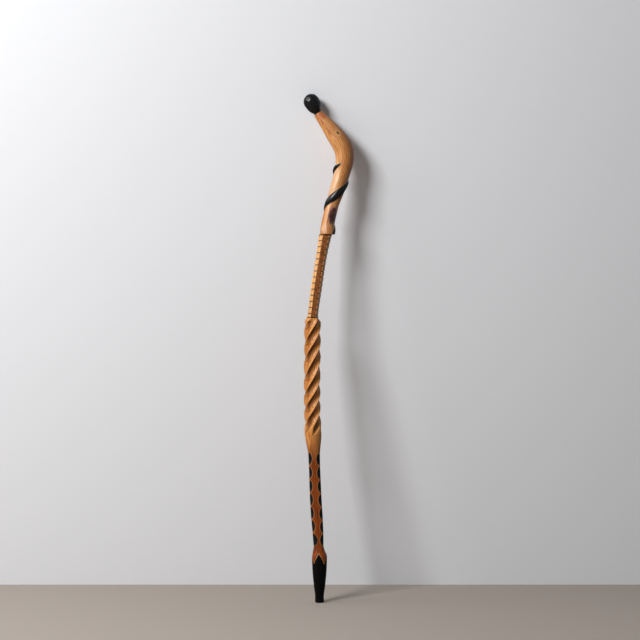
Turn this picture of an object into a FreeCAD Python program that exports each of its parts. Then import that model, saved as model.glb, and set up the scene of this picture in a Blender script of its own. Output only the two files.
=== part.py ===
import FreeCAD, Part
import math
import os

import Sketcher

# Carved walking stick, in millimetres. It stands upright on the origin, which is the middle of the foot's
# flat face. +Z is up, +X is to the right when the carved front is in view, and the front faces -Y.
# Every piece has its centre line in the plane Y = 0. Angles round the stick are in degrees from +X, so the
# front is at -90. Pieces in assembly order: tip, spiral shaft, shaft dowel, notched shaft, handle dowel,
# snake, handle, knob dowel, knob.

# Heights up the stick from the ground, each measured from the one before it.
HEIGHTS = {
    # Tip: the foot's straight side, the flank up to the widest level, and the tops of the tongues.
    "seat_height": 14,
    "flank_height": 68.6,
    "tongue_rise": 3.9,
    # Spiral shaft: collar, neck, squared length with its bulge, twist, and the shoulder's bevel.
    "collar_rise": 2,
    "neck_rise": 12.5,
    "squared_length": 203,
    "twist_length": 201,
    "bevel_rise": 6.5,
    # Notched shaft and handle.
    "bar_length": 150.4,
    "handle_rise": 218,
}

SIZES = {
    # Tip: a turned foot with four pointed tongues.
    "foot_radius": 8,
    "foot_edge": 1.6,
    "crown_radius": 13.6,
    "tip_flank_radius": 450,
    "collar_radius": 12.1,
    "tongue_depth": 17,
    "tongue_turn": 40,
    # Spigot of the spiral shaft in the tip.
    "spigot_radius": 7,
    "spigot_length": 34,
    "glue_gap": 1.5,
    # Spiral shaft: squared lower length, bulge and five-flute twist.
    "square_half": 10.4,
    "strand_radius": 15.3,
    "shoulder_radius": 10.8,
    "shaft_lean": 14.4,
    "flute_lead": 144.5,
    "flute_wander": 15,
    "flute_bottom": 9.8,
    "gouge_radius": 14.4,
    "run_out": 30,
    # Scoops across the four arrises of the squared length.
    "scoop_rise": 11.1,
    "scoop_length": 21.5,
    "scoop_land": 2.9,
    "scoop_depth": 2.4,
    "scoop_width": 20,
    # Notched shaft: a leaning six-sided bar.
    "bar_radius": 10.3,
    "bar_lean": 23.4,
    "bar_bow": 1.5,
    "bar_turn": 8,
    "left_notch_start": 8.2,
    "left_notch_pitch": 10.9,
    "right_notch_start": 5.3,
    "right_notch_pitch": 9.8,
    "notch_depth": 2.4,
    "notch_width": 16,
    # Handle: a bent branch, set a little to the right of the bar under it.
    "rim_offset": 3.55,
    "handle_reach": 31.5,
    "branch_radius": 17.6,
    # Snake: a domed band let into the handle.
    "snake_half_width": 7.2,
    "snake_proud": 2.4,
    "snake_edge_sink": 0.9,
    "snake_seat": 3.2,
    # Knob.
    "knob_lean": -32,
    "knob_neck": 6.8,
    "knob_waist": 6.5,
    "knob_waist_height": 1.6,
    "knob_radius": 14.4,
    "knob_shoulder_drop": 3.6,
    "knob_length": 39,
    # Dowels.
    "dowel_chamfer": 0.8,
    "knob_dowel_radius": 3.5,
    "knob_dowel_length": 30,
    "handle_dowel_radius": 5,
    "handle_dowel_length": 60,
    "handle_dowel_lean": 9.5,
    "shaft_dowel_radius": 5,
    "shaft_dowel_length": 56,
    "shaft_dowel_lean": 4.5,
}

# Counts.
TONGUES = 4
FLUTES = 5

X_AXIS = FreeCAD.Vector(1, 0, 0)
Y_AXIS = FreeCAD.Vector(0, 1, 0)
Z_AXIS = FreeCAD.Vector(0, 0, 1)

doc = FreeCAD.newDocument("carved_walking_stick")
sheet = doc.addObject("Spreadsheet::Sheet", "sizes")
for row, (alias, value) in enumerate({**HEIGHTS, **SIZES}.items(), start=1):
    sheet.set(f"A{row}", alias)
    sheet.set(f"B{row}", str(value))
    sheet.setAlias(f"B{row}", alias)
doc.recompute()


def size(alias):
    """Reads one size from the sheet."""
    return float(sheet.get(alias))


def up_to(top):
    """The names of the heights that are stacked up to one of them, with that one."""
    stack = list(HEIGHTS)
    return stack[: stack.index(top) + 1]


def level(top):
    """How high above the ground one of the stacked heights ends."""
    return sum(size(alias) for alias in up_to(top))


def bound_level(top):
    """The same level as an expression on the sheet."""
    return " + ".join(f"sizes.{alias}" for alias in up_to(top))


def slope(stations, index):
    """Slope of the smooth curve at one of its stations."""
    before = stations[max(index - 1, 0)]
    after = stations[min(index + 1, len(stations) - 1)]
    return (after[1] - before[1]) / (after[0] - before[0])


def smooth(stations, place):
    """Reads the smooth curve through (place, value) stations."""
    index = 0
    while index < len(stations) - 2 and place > stations[index + 1][0]:
        index += 1
    start, first = stations[index]
    end, last = stations[index + 1]
    span = end - start
    step = (place - start) / span
    leave = slope(stations, index) * span * step * (1 - step) ** 2
    arrive = slope(stations, index + 1) * span * step**2 * (step - 1)
    return first * (1 + 2 * step) * (1 - step) ** 2 + last * step**2 * (3 - 2 * step) + leave + arrive


def origin_plane(body, role):
    """The body's own origin plane of that role."""
    return next(feature for feature in body.Origin.OriginFeatures if feature.Role == role)


def new_sketch(body, role, name):
    sketch = body.newObject("Sketcher::SketchObject", name)
    sketch.AttachmentSupport = [(origin_plane(body, role), "")]
    sketch.MapMode = "FlatFace"
    return sketch


def bind(sketch, constraint, expression):
    """Adds a constraint and binds its value to the sheet."""
    index = sketch.addConstraint(constraint)
    sketch.setExpression(f"Constraints[{index}]", expression)


def place_point(sketch, edge, end, across, up):
    """Binds one end of an edge to distances across and up from the sketch's origin."""
    for kind, expression in (("DistanceX", across), ("DistanceY", up)):
        if expression is None:
            target = -2 if kind == "DistanceX" else -1
            sketch.addConstraint(Sketcher.Constraint("PointOnObject", edge, end, target))
        else:
            point = sketch.getPoint(edge, end)
            value = point.x if kind == "DistanceX" else point.y
            bind(sketch, Sketcher.Constraint(kind, -1, 1, edge, end, value), expression)


def join_ends(sketch, edges):
    """Joins a chain of edges, each one's end on the next one's start."""
    for edge, following in zip(edges, edges[1:]):
        sketch.addConstraint(Sketcher.Constraint("Coincident", edge, 2, following, 1))


def line(start, end):
    return Part.LineSegment(FreeCAD.Vector(*start, 0), FreeCAD.Vector(*end, 0))


def revolve(body, sketch, name):
    turned = body.newObject("PartDesign::Revolution", name)
    turned.Profile = sketch
    turned.ReferenceAxis = (sketch, ["V_Axis"])
    turned.Angle = 360
    return turned


def cut(name, base, tool):
    piece = doc.addObject("Part::Cut", name)
    piece.Base = base
    piece.Tool = tool
    piece.Refine = False
    return piece


def compound(name, members):
    group = doc.addObject("Part::Compound", name)
    group.Links = members
    return group


# Dowels: turned pegs with chamfered ends, half in each of the two pieces that they join.


def dowel(name, seat, lean):
    """A peg with its middle at the seat, leaning in the plane Y = 0, and the bore that takes it."""
    placement = FreeCAD.Placement(seat, FreeCAD.Rotation(Y_AXIS, lean))
    body = doc.addObject("PartDesign::Body", name)
    ring = new_sketch(body, "XY_Plane", f"{name}_ring")
    ring.addGeometry(Part.Circle(FreeCAD.Vector(), Z_AXIS, size(f"{name}_radius")))
    ring.addConstraint(Sketcher.Constraint("Coincident", 0, 3, -1, 1))
    bind(ring, Sketcher.Constraint("Radius", 0, size(f"{name}_radius")), f"sizes.{name}_radius")
    peg = body.newObject("PartDesign::Pad", f"{name}_peg")
    peg.Profile = ring
    peg.Midplane = True
    peg.setExpression("Length", f"sizes.{name}_length")
    doc.recompute()
    ends = [f"Edge{n}" for n, edge in enumerate(peg.Shape.Edges, start=1) if len(edge.Vertexes) == 1]
    bevel = body.newObject("PartDesign::Chamfer", f"{name}_bevel")
    bevel.Base = (peg, ends)
    bevel.setExpression("Size", "sizes.dowel_chamfer")
    body.Placement = placement
    bore = doc.addObject("Part::Cylinder", f"{name}_bore")
    bore.setExpression("Radius", f"sizes.{name}_radius")
    bore.setExpression("Height", f"sizes.{name}_length + 2 * sizes.glue_gap")
    half = size(f"{name}_length") / 2 + size("glue_gap")
    bore.Placement = placement.multiply(FreeCAD.Placement(FreeCAD.Vector(0, 0, -half), FreeCAD.Rotation()))
    return body, bore


# Tip: turned, bored for the spigot, with four V notches that leave four pointed tongues.


def turned_tip(name):
    """The foot's turned blank, from the ground past the crown to the collar."""
    body = doc.addObject("PartDesign::Body", name)
    side = new_sketch(body, "XZ_Plane", f"{name}_side")
    foot, edge, crown = size("foot_radius"), size("foot_edge"), size("crown_radius")
    seat, widest = level("seat_height"), level("flank_height")
    collar, top = size("collar_radius"), level("collar_rise")
    flank = size("tip_flank_radius")
    round_end = FreeCAD.Vector(foot - edge + edge * math.sqrt(0.5), edge - edge * math.sqrt(0.5), 0)
    # The middle of the flank's arc stands out from its chord by the arc's rise.
    chord = FreeCAD.Vector(crown - foot, widest - seat, 0)
    rise = flank - math.sqrt(flank**2 - (chord.Length / 2) ** 2)
    out = FreeCAD.Vector(chord.y, -chord.x, 0).normalize() * rise
    middle = FreeCAD.Vector((foot + crown) / 2, (seat + widest) / 2, 0) + out
    corners = [FreeCAD.Vector(foot, seat, 0), FreeCAD.Vector(crown, widest, 0)]
    side.addGeometry(
        [
            line((0, 0), (foot - edge, 0)),
            Part.Arc(FreeCAD.Vector(foot - edge, 0, 0), round_end, FreeCAD.Vector(foot, edge, 0)),
            line((foot, edge), (foot, seat)),
            Part.Arc(corners[0], middle, corners[1]),
            line((crown, widest), (collar, top)),
            line((collar, top), (0, top)),
            line((0, top), (0, 0)),
        ]
    )
    # Both arcs turn anticlockwise, so they start low and end high.
    join_ends(side, [0, 1, 2, 3, 4, 5, 6, 0])
    place_point(side, 0, 1, None, None)
    place_point(side, 0, 2, "sizes.foot_radius - sizes.foot_edge", None)
    place_point(side, 2, 1, "sizes.foot_radius", "sizes.foot_edge")
    bind(side, Sketcher.Constraint("Radius", 1, edge), "sizes.foot_edge")
    place_point(side, 2, 2, "sizes.foot_radius", bound_level("seat_height"))
    place_point(side, 3, 2, "sizes.crown_radius", bound_level("flank_height"))
    bind(side, Sketcher.Constraint("Radius", 3, flank), "sizes.tip_flank_radius")
    place_point(side, 5, 1, "sizes.collar_radius", bound_level("collar_rise"))
    place_point(side, 6, 1, None, bound_level("collar_rise"))
    revolve(body, side, f"{name}_turned")
    body.Placement = FreeCAD.Placement(FreeCAD.Vector(), FreeCAD.Rotation(Z_AXIS, size("tongue_turn")))
    return body


def make_tip():
    body = turned_tip("tip")
    doc.recompute()
    blank = body.Shape.Volume
    top, foot = level("collar_rise"), level("tongue_rise") - size("tongue_depth")
    half = size("crown_radius") * math.sqrt(0.5) * (top - foot) / size("tongue_depth")
    notch = new_sketch(body, "XZ_Plane", "tongue_notch")
    notch.addGeometry(
        [
            line((0, foot), (half, top)),
            line((half, top), (-half, top)),
            line((-half, top), (0, foot)),
        ]
    )
    join_ends(notch, [0, 1, 2, 0])
    # Neighbouring notches cross below the collar, which brings each tongue to a point.
    place_point(notch, 0, 1, None, f"{bound_level('tongue_rise')} - sizes.tongue_depth")
    rise = "(sizes.collar_rise + sizes.tongue_depth) / sizes.tongue_depth"
    place_point(notch, 0, 2, f"sizes.crown_radius * sqrt(0.5) * {rise}", bound_level("collar_rise"))
    place_point(notch, 1, 2, f"-sizes.crown_radius * sqrt(0.5) * {rise}", bound_level("collar_rise"))
    cleft = body.newObject("PartDesign::Pocket", "tongue_cleft")
    cleft.Profile = notch
    cleft.Type = "ThroughAll"
    doc.recompute()
    ring = body.newObject("PartDesign::PolarPattern", "tongue_ring")
    ring.Originals = [cleft]
    ring.Axis = (notch, ["V_Axis"])
    ring.Angle = 360
    ring.Occurrences = TONGUES
    body.Tip = ring
    doc.recompute()
    bore = new_sketch(body, "XY_Plane", "spigot_bore_ring")
    bore.AttachmentOffset.Base = FreeCAD.Vector(0, 0, top)
    bore.setExpression("AttachmentOffset.Base.z", bound_level("collar_rise"))
    bore.addGeometry(Part.Circle(FreeCAD.Vector(), Z_AXIS, size("spigot_radius")))
    bore.addConstraint(Sketcher.Constraint("Coincident", 0, 3, -1, 1))
    bind(bore, Sketcher.Constraint("Radius", 0, size("spigot_radius")), "sizes.spigot_radius")
    socket = body.newObject("PartDesign::Pocket", "spigot_socket")
    socket.Profile = bore
    deep = "sizes.collar_rise + sizes.tongue_depth + sizes.spigot_length + sizes.glue_gap"
    socket.setExpression("Length", deep)
    doc.recompute()
    print("tip: turned blank", round(blank), "cut to", round(body.Shape.Volume))
    return body


# Spiral shaft: one length of wood, with a squared lower end, a bulge, five helical flutes and a bevelled
# shoulder.

# Centre line: height as a share of the shaft's seam, sideways place as a share of the shaft's lean.
CENTRE_SHARES = [
    (0.16, 0.0),
    (0.197, -0.11),
    (0.254, -0.21),
    (0.36, -0.46),
    (0.528, -0.69),
    (0.642, -0.87),
    (0.763, -0.93),
    (0.863, -0.89),
    (0.988, -0.875),
    (1.0, -0.875),
]

# Half-width of the squared length: height share from the neck to the twist's end, share of the square's half.
SQUARE_SHARES = [
    (0.0, 0.86),
    (0.04, 0.87),
    (0.14, 0.96),
    (0.27, 1.02),
    (0.5, 1.01),
    (0.76, 0.97),
    (0.82, 1.02),
]

# Half-width of the bulge above it: height share, share of the strands' radius.
BULGE_SHARES = [(0.89, 0.82), (0.94, 0.92), (0.98, 0.975), (1.0, 1.0)]

# Flare between the neck and the collar: height share from the collar up, share of the widening that is left.
FLARE_SHARES = [(0.0, 0.95), (0.3, 0.62), (0.6, 0.27)]

# Where the bulge begins, as a height share from the neck up to the twist's end.
BULGE_FOOT_SHARE = 0.82

# How far the hand-cut flutes run ahead of an even climb: height share of the twist, share of the wander.
WANDER_SHARES = [
    (0.0, 0.45),
    (0.1, 0.45),
    (0.2, 0.6),
    (0.3, 0.8),
    (0.4, 1.0),
    (0.48, 0.93),
    (0.56, 0.58),
    (0.65, 0.12),
    (0.75, 0.0),
    (1.0, 0.0),
]

# Steps between the rings of each length, and the rings of a flute's cutter in each turn of its helix.
FLARE_STEPS = 3
SQUARE_STEPS = 6
BULGE_STEPS = 5
BARREL_STEPS = 5
RINGS_EACH_TURN = 24

# How square the section is at each height share from the collar to the twist's end: 2 is round.
SQUARENESS_SHARES = [
    (0.0, 2.0),
    (0.04, 2.6),
    (0.09, 4.2),
    (0.14, 5.0),
    (0.78, 5.0),
    (0.84, 3.6),
    (0.93, 2.2),
    (0.96, 2.0),
]


def shaft_centre(height):
    """Sideways place of the shaft's centre line at a height."""
    share = height / level("bevel_rise")
    if share <= CENTRE_SHARES[0][0]:
        return 0
    return smooth(CENTRE_SHARES, share) * size("shaft_lean")


def shaft_stations():
    """Height and half-width stations of the spiral shaft, from the collar to the shoulder."""
    collar, neck = level("collar_rise"), level("neck_rise")
    narrow = SQUARE_SHARES[0][1] * size("square_half")
    widening = size("collar_radius") - narrow
    stations = [(collar + rise * size("neck_rise"), narrow + widening * left) for rise, left in FLARE_SHARES]
    for shares, whole in ((SQUARE_SHARES, size("square_half")), (BULGE_SHARES, size("strand_radius"))):
        stations += [(neck + share * size("squared_length"), half * whole) for share, half in shares]
    stations.append((level("twist_length"), size("strand_radius")))
    return stations


def shaft_half(height):
    """Half-width of the spiral shaft at a height."""
    return smooth(shaft_stations(), height)


def squared_ring(centre, half, squareness, height):
    """A level ring between a circle and a square, made of four side arcs and four corner arcs."""
    side = 28

    def at(degrees):
        along = math.cos(math.radians(degrees))
        across = math.sin(math.radians(degrees))
        reach = half / (abs(along) ** squareness + abs(across) ** squareness) ** (1 / squareness)
        return FreeCAD.Vector(centre + reach * along, reach * across, height)

    arcs = []
    for quarter in (0, 90, 180, 270):
        arcs.append(Part.Arc(at(quarter - side), at(quarter), at(quarter + side)).toShape())
        arcs.append(Part.Arc(at(quarter + side), at(quarter + 45), at(quarter + 90 - side)).toShape())
    return Part.Wire(arcs)


def squareness_at(height):
    share = (height - level("collar_rise")) / (size("neck_rise") + size("squared_length"))
    return 2 if share >= SQUARENESS_SHARES[-1][0] else smooth(SQUARENESS_SHARES, share)


def plain_length(low, high, steps, ruled):
    """A length of the shaft without flutes or scoops, lofted through evenly spaced rings."""
    rings = []
    for step in range(steps + 1):
        height = low + (high - low) * step / steps
        rings.append(squared_ring(shaft_centre(height), shaft_half(height), squareness_at(height), height))
    return Part.makeLoft(rings, True, ruled)


def make_lower_length():
    """The flare above the collar, the squared length and the bulge, up to the twist's end."""
    collar, neck, end = level("collar_rise"), level("neck_rise"), level("squared_length")
    bulge = neck + BULGE_FOOT_SHARE * size("squared_length")
    flare = plain_length(collar, neck, FLARE_STEPS, False)
    squared = plain_length(neck, bulge, SQUARE_STEPS, True)
    length = doc.addObject("Part::Feature", "lower_length")
    length.Shape = flare.fuse([squared, plain_length(bulge, end, BULGE_STEPS, False)])
    return length


def round_ring(height, radius, turn=0, reach=0):
    """A level circle, with its middle at a turn and a reach from the shaft's centre line."""
    across = shaft_centre(min(height, level("bevel_rise"))) + reach * math.cos(turn)
    middle = FreeCAD.Vector(across, reach * math.sin(turn), height)
    return Part.Wire(Part.Circle(middle, Z_AXIS, radius).toShape())


def make_barrel():
    """The round length that the flutes are cut from, with the shoulder's bevel on top."""
    end, radius = level("squared_length"), size("strand_radius")
    rise = size("twist_length") / BARREL_STEPS
    rings = [round_ring(end + rise * step, radius) for step in range(BARREL_STEPS + 1)]
    bevel = [rings[-1], round_ring(level("bevel_rise"), size("shoulder_radius"))]
    barrel = doc.addObject("Part::Feature", "barrel")
    barrel.Shape = Part.makeLoft(rings, True, False).fuse(Part.makeLoft(bevel, True, True))
    return barrel


def make_flutes():
    """Round-bottomed cutters that climb the shaft as right-hand helices and lift out at the lower end."""
    end, length = level("squared_length"), size("twist_length") + size("bevel_rise")
    gouge, bottom = size("gouge_radius"), size("flute_bottom")
    rise = size("flute_lead") / RINGS_EACH_TURN
    cutters = []
    for flute in range(FLUTES):
        rings = []
        for step in range(-1, math.ceil(length / rise) + 2):
            left = max(0, 1 - step * rise / size("run_out"))
            reach = bottom + gouge + (size("strand_radius") - bottom) * left**2
            share = min(max(step * rise / size("twist_length"), 0), 1)
            ahead = smooth(WANDER_SHARES, share) * size("flute_wander") - 90
            turn = math.radians(ahead) + 2 * math.pi * (step / RINGS_EACH_TURN + flute / FLUTES)
            rings.append(round_ring(end + step * rise, gouge, turn, reach))
        cutters.append(Part.makeLoft(rings, True, False))
    flutes = doc.addObject("Part::Feature", "flutes")
    flutes.Shape = Part.makeCompound(cutters)
    return flutes


def make_scoops():
    """Rollers laid across the four arrises, each as deep as a scoop at its middle."""
    depth, length = size("scoop_depth"), size("scoop_length")
    roller = ((length / 2) ** 2 + depth**2) / (2 * depth)
    pitch = length + size("scoop_land")
    rollers = []
    for place in range(round(BULGE_FOOT_SHARE * size("squared_length") / pitch)):
        height = level("neck_rise") + size("scoop_rise") + place * pitch
        squareness = squareness_at(height)
        arris = shaft_half(height) * math.sqrt(2) / 2 ** (1 / squareness)
        for corner in (45, 135, 225, 315):
            turn = FreeCAD.Rotation(Z_AXIS, corner)
            out = turn.multVec(FreeCAD.Vector(arris - depth + roller, -size("scoop_width") / 2, height))
            scoop = doc.addObject("Part::Cylinder", f"scoop_{place}_{corner}")
            scoop.Radius = roller
            scoop.setExpression("Height", "sizes.scoop_width")
            scoop.Placement = FreeCAD.Placement(
                out + X_AXIS * shaft_centre(height), turn * FreeCAD.Rotation(X_AXIS, -90)
            )
            rollers.append(scoop)
    return compound("scoops", rollers)


def make_points(tip):
    """The wood that fills the clefts of the tip, with the spigot below it."""
    crown = turned_tip("crown_blank")
    filled = cut("crown_points", crown, tip)
    floor = doc.addObject("Part::Cylinder", "spigot_end_gap")
    floor.setExpression("Radius", "sizes.crown_radius")
    floor.setExpression("Height", f"{bound_level('tongue_rise')} - sizes.tongue_depth - sizes.spigot_length")
    return cut("points_and_spigot", filled, floor)


def make_spiral_shaft(tip, bore):
    shaft = doc.addObject("Part::MultiFuse", "spiral_shaft")
    shaft.Refine = False
    shaft.Shapes = [
        make_points(tip),
        cut("scooped_length", make_lower_length(), make_scoops()),
        cut("twist", cut("bored_barrel", make_barrel(), bore), make_flutes()),
    ]
    return shaft


# Notched shaft: a six-sided bar, a little bowed, with V notches down its two side arrises.

# Height share from the lower seam, radius share.
BAR_SHARES = [(0.0, 1.0), (0.25, 0.98), (0.6, 0.985), (0.83, 1.03), (0.92, 1.1), (1.0, 1.16)]


def bar_centre(share):
    """Sideways place of the bar's centre line at a share of its height."""
    foot = CENTRE_SHARES[-1][1] * size("shaft_lean")
    return foot + size("bar_lean") * share - 4 * size("bar_bow") * share * (1 - share)


def make_notched_shaft(bores):
    low, length = level("bevel_rise"), size("bar_length")
    rings = []
    for share, wide in BAR_SHARES:
        ring = doc.addObject("Part::RegularPolygon", "bar_ring")
        ring.Polygon = 6
        ring.setExpression("Circumradius", f"sizes.bar_radius * {wide}")
        ring.Placement = FreeCAD.Placement(
            FreeCAD.Vector(bar_centre(share), 0, low + share * length),
            FreeCAD.Rotation(Z_AXIS, size("bar_turn")),
        )
        rings.append(ring)
    bar = doc.addObject("Part::Loft", "bar")
    bar.Sections = rings
    bar.Solid = True
    notches = []
    for side, turned in (("right", 0), ("left", 180)):
        start, pitch = size(f"{side}_notch_start"), size(f"{side}_notch_pitch")
        turn = FreeCAD.Rotation(Z_AXIS, size("bar_turn") + turned)
        # Each cutter is a three-sided prism that lies across the arris with one edge pointing inwards.
        inwards = turn * FreeCAD.Rotation(X_AXIS, 90) * FreeCAD.Rotation(Z_AXIS, 180)
        for place in range(math.floor((length - 2 * start) / pitch) + 1):
            rise = start + place * pitch
            arris = size("bar_radius") * smooth(BAR_SHARES, rise / length)
            out = turn.multVec(FreeCAD.Vector(arris, size("notch_width") / 2, low + rise))
            notch = doc.addObject("Part::Prism", f"{side}_notch_{place}")
            notch.Polygon = 3
            notch.setExpression("Circumradius", "sizes.notch_depth")
            notch.setExpression("Height", "sizes.notch_width")
            notch.Placement = FreeCAD.Placement(out + X_AXIS * bar_centre(rise / length), inwards)
            notches.append(notch)
    return cut("notched_shaft", bar, compound("bar_tools", notches + bores))


# Handle: a natural branch with one bend.

# Height share of the rise, sideways share of the reach, radius share.
ROUTE_SHARES = [
    (0.0, 0.0, 0.785),
    (0.052, 0.004, 0.72),
    (0.118, 0.066, 0.676),
    (0.2, 0.202, 0.665),
    (0.283, 0.362, 0.69),
    (0.366, 0.552, 0.765),
    (0.448, 0.727, 0.8),
    (0.531, 0.888, 0.844),
    (0.613, 0.994, 0.946),
    (0.679, 0.975, 0.992),
    (0.745, 0.802, 1.0),
    (0.811, 0.488, 0.92),
    (0.882, 0.115, 0.767),
    (0.944, -0.226, 0.614),
    (1.0, -0.529, 0.46),
]


def branch_centre(share):
    """A point of the handle's centre line at a share of its rise."""
    across = smooth([(rise, reach) for rise, reach, _ in ROUTE_SHARES], share) * size("handle_reach")
    foot = FreeCAD.Vector(bar_centre(1) + size("rim_offset"), 0, level("bar_length"))
    return foot + FreeCAD.Vector(across, 0, share * size("handle_rise"))


def branch_radius(share):
    return smooth([(rise, radius) for rise, _, radius in ROUTE_SHARES], share) * size("branch_radius")


def branch_along(share):
    """Direction of the handle's centre line at a share of its rise."""
    step = 0.01
    return (branch_centre(min(share + step, 1)) - branch_centre(max(share - step, 0))).normalize()


def branch_lean(share):
    """Lean of the handle's section from level. The lower end is cut level and the upper one fits the knob."""
    if share == 0:
        return 0
    if share == 1:
        return size("knob_lean")
    along = branch_along(share)
    return math.degrees(math.atan2(along.x, along.z))


def make_branch():
    rings = []
    for share, _, radius in ROUTE_SHARES:
        ring = doc.addObject("Part::Circle", "branch_ring")
        ring.setExpression("Radius", f"sizes.branch_radius * {radius}")
        ring.Placement = FreeCAD.Placement(branch_centre(share), FreeCAD.Rotation(Y_AXIS, branch_lean(share)))
        rings.append(ring)
    branch = doc.addObject("Part::Loft", "branch")
    branch.Sections = rings
    branch.Solid = True
    return branch


# Snake: climbs the handle as a right-hand helix, from the rim at the front right to a pointed tail.

# Degrees round the handle (0 is the front, 90 the right), height share of the handle's rise, width share.
SNAKE_SHARES = [
    (38, -0.018, 0.5),
    (78, 0.031, 0.55),
    (165, 0.12, 0.75),
    (270, 0.229, 0.95),
    (360, 0.313, 1.0),
    (450, 0.432, 0.8),
    (540, 0.472, 0.5),
    (625, 0.513, 0.44),
    (697, 0.578, 0.14),
]

# Thickness of the snake where its width comes to nothing, as a share of the full thickness.
SNAKE_THIN_SHARE = 0.15

# Steps between the snake's sections.
SNAKE_STEPS = 36


def snake_place(turn):
    """Surface point, outward direction and half-width of the snake at a turn round the handle."""
    share = smooth([(degrees, rise) for degrees, rise, _ in SNAKE_SHARES], turn)
    width = smooth([(degrees, wide) for degrees, _, wide in SNAKE_SHARES], turn)
    on_branch = max(share, 0)
    along = branch_along(on_branch)
    right = FreeCAD.Vector(along.z, 0, -along.x)
    out = right * math.sin(math.radians(turn)) - Y_AXIS * math.cos(math.radians(turn))
    middle = branch_centre(on_branch) + along * (share - on_branch) * size("handle_rise")
    return middle + out * branch_radius(on_branch), out, width * size("snake_half_width")


def make_snake():
    first, last = SNAKE_SHARES[0][0], SNAKE_SHARES[-1][0]
    rings = []
    for step in range(SNAKE_STEPS + 1):
        turn = first + (last - first) * step / SNAKE_STEPS
        middle, out, width = snake_place(turn)
        behind, _, _ = snake_place(turn - 1)
        side = (middle - behind).cross(out).normalize() * width
        thin = min(1, width / size("snake_half_width") + SNAKE_THIN_SHARE)
        edge = middle - out * size("snake_edge_sink") * thin
        crest = middle + out * size("snake_proud") * thin
        seat = middle - out * size("snake_seat") * thin
        dome = Part.Arc(edge - side, crest, edge + side).toShape()
        belly = Part.Arc(edge + side, seat, edge - side).toShape()
        rings.append(Part.Wire([dome, belly]))
    body = doc.addObject("Part::Feature", "snake_body")
    body.Shape = Part.makeLoft(rings, True, False)
    below = doc.addObject("Part::Box", "below_the_rim")
    for edge in ("Length", "Width", "Height"):
        below.setExpression(edge, "4 * sizes.branch_radius")
    below.Placement.Base = branch_centre(0) - FreeCAD.Vector(2, 2, 4) * size("branch_radius")
    return cut("snake", body, below)


def make_handle(snake, bores):
    return cut("handle", make_branch(), compound("handle_tools", [snake] + bores))


# Knob: a carved egg on a short neck.


def make_knob(bore):
    body = doc.addObject("PartDesign::Body", "knob_egg")
    side = new_sketch(body, "XZ_Plane", "knob_side")
    neck, waist, waist_height = size("knob_neck"), size("knob_waist"), size("knob_waist_height")
    round_radius, length, drop = size("knob_radius"), size("knob_length"), size("knob_shoulder_drop")
    centre = length - round_radius
    shoulder = FreeCAD.Vector(math.sqrt(round_radius**2 - drop**2), centre - drop, 0)
    crown_middle = FreeCAD.Vector(round_radius * math.sqrt(0.5), centre + round_radius * math.sqrt(0.5), 0)
    start = FreeCAD.Vector(waist, waist_height, 0)
    # The flank leaves the waist and arrives at the shoulder in line with the crown.
    tangent = FreeCAD.Vector(drop, shoulder.x, 0).normalize()
    chord = shoulder - start
    normal = FreeCAD.Vector(-tangent.y, tangent.x, 0)
    flank = chord.dot(chord) / (2 * abs(chord.dot(normal)))
    hub = shoulder + normal * flank
    flank_middle = hub + ((start + shoulder) * 0.5 - hub).normalize() * flank
    side.addGeometry(
        [
            line((0, 0), (neck, 0)),
            line((neck, 0), (waist, waist_height)),
            Part.Arc(start, flank_middle, shoulder),
            Part.Arc(shoulder, crown_middle, FreeCAD.Vector(0, length, 0)),
            line((0, length), (0, 0)),
        ]
    )
    join_ends(side, [3, 4, 0, 1, 2])
    place_point(side, 0, 1, None, None)
    place_point(side, 0, 2, "sizes.knob_neck", None)
    place_point(side, 1, 2, "sizes.knob_waist", "sizes.knob_waist_height")
    place_point(side, 4, 1, None, "sizes.knob_length")
    side.addConstraint(Sketcher.Constraint("PointOnObject", 3, 3, -2))
    bind(side, Sketcher.Constraint("Radius", 3, round_radius), "sizes.knob_radius")
    shoulder_level = "sizes.knob_length - sizes.knob_radius - sizes.knob_shoulder_drop"
    bind(side, Sketcher.Constraint("DistanceY", -1, 1, 2, 2, shoulder.y), shoulder_level)
    side.addConstraint(Sketcher.Constraint("Tangent", 2, 2, 3, 1))
    revolve(body, side, "knob_turned")
    body.Placement = FreeCAD.Placement(branch_centre(1), FreeCAD.Rotation(Y_AXIS, size("knob_lean")))
    return cut("knob", body, bore)


knob_dowel, knob_bore = dowel("knob_dowel", branch_centre(1), size("knob_lean"))
rim_centre = (branch_centre(0) + FreeCAD.Vector(bar_centre(1), 0, level("bar_length"))) * 0.5
handle_dowel, handle_bore = dowel("handle_dowel", rim_centre, size("handle_dowel_lean"))
shoulder_centre = FreeCAD.Vector(bar_centre(0), 0, level("bevel_rise"))
shaft_dowel, shaft_bore = dowel("shaft_dowel", shoulder_centre, size("shaft_dowel_lean"))
tip = make_tip()
snake = make_snake()
pieces = {
    "tip": tip,
    "spiral_shaft": make_spiral_shaft(tip, shaft_bore),
    "shaft_dowel": shaft_dowel,
    "notched_shaft": make_notched_shaft([shaft_bore, handle_bore]),
    "handle_dowel": handle_dowel,
    "snake": snake,
    "handle": make_handle(snake, [handle_bore, knob_bore]),
    "knob_dowel": knob_dowel,
    "knob": make_knob(knob_bore),
}
doc.recompute()

faults = [thing.Label for thing in doc.Objects if {"Invalid", "Error"} & set(thing.State)]
if faults:
    raise RuntimeError(f"failed objects: {faults}")
for node, piece in pieces.items():
    shape = piece.Shape
    if shape.isNull() or not shape.isValid() or len(shape.Solids) != 1:
        raise RuntimeError(f"{node} is not one valid solid")

os.makedirs("parts", exist_ok=True)
for node, piece in pieces.items():
    piece.Label = node
    piece.Shape.exportStep(f"parts/{node}.step")
    print(node, "volume", round(piece.Shape.Volume), "faces", len(piece.Shape.Faces))
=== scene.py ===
import math

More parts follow.
